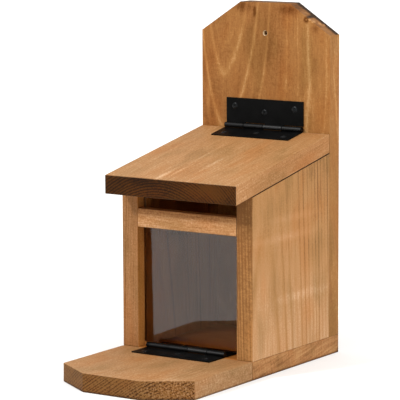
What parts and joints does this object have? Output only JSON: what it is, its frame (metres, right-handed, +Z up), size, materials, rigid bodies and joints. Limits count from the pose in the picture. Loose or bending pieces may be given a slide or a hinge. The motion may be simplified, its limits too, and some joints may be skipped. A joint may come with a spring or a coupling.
{
  "type": "squirrel feeder box",
  "caption": "Wooden squirrel feeder box with a sloping hinged lid, a clear front pane, a tall backboard with a hanging hole and a fold-up perch platform.",
  "frame": {"origin": "under the middle of the whole feeder, on the surface that it stands on", "axes": "+X to the right as seen from the front, +Y from the platform to the backboard, +Z up along the backboard"},
  "size_m": [0.15, 0.2854, 0.3475],
  "materials": {
    "backboard_wood": "brown wood stain on planed spruce, matt",
    "base_board_wood": "brown wood stain on planed spruce, matt",
    "left_side_wood": "brown wood stain on planed spruce, matt",
    "right_side_wood": "brown wood stain on planed spruce, matt",
    "front_rail_wood": "brown wood stain on planed spruce, matt",
    "lid_wood": "brown wood stain on planed spruce, matt",
    "platform_wood": "brown wood stain on planed spruce, matt",
    "dowel_wood": "bare turned beech",
    "clear_acrylic": "clear extruded acrylic sheet, polished faces",
    "black_hinge_steel": "black powder coat on pressed sheet steel",
    "black_pin_steel": "black painted steel wire",
    "black_screw_steel": "black painted steel, slightly worn on the crowns",
    "zinc_screw_steel": "yellow zinc plated steel"
  },
  "bodies": {
    "box": {"backboard": "backboard_wood", "base_board": "base_board_wood", "left_side": "left_side_wood", "right_side": "right_side_wood", "front_rail": "front_rail_wood", "rail_dowels": "dowel_wood", "window": "clear_acrylic", "back_screws": "zinc_screw_steel", "base_screws": "zinc_screw_steel", "roof_hinge_wall_leaf": "black_hinge_steel", "roof_hinge_pin": "black_pin_steel", "roof_hinge_wall_screws": "black_screw_steel", "platform_hinge_base_leaf": "black_hinge_steel", "platform_hinge_pin": "black_pin_steel", "platform_hinge_base_screws": "black_screw_steel"},
    "lid": {"lid": "lid_wood", "roof_hinge_lid_leaf": "black_hinge_steel", "roof_hinge_lid_screws": "black_screw_steel"},
    "platform": {"platform": "platform_wood", "platform_hinge_platform_leaf": "black_hinge_steel", "platform_hinge_platform_screws": "black_screw_steel"}
  },
  "joints": [
    {"name": "lid_hinge", "type": "hinge", "parent": "box", "child": "lid", "pos_m": [0, 0.1217, 0.22349], "axis": [-1, 0, 0], "range_deg": [0, 100]},
    {"name": "platform_hinge", "type": "hinge", "parent": "box", "child": "platform", "pos_m": [-0.003, -0.0136, 0.02105], "axis": [-1, 0, 0], "range_deg": [0, 90]}
  ]
}
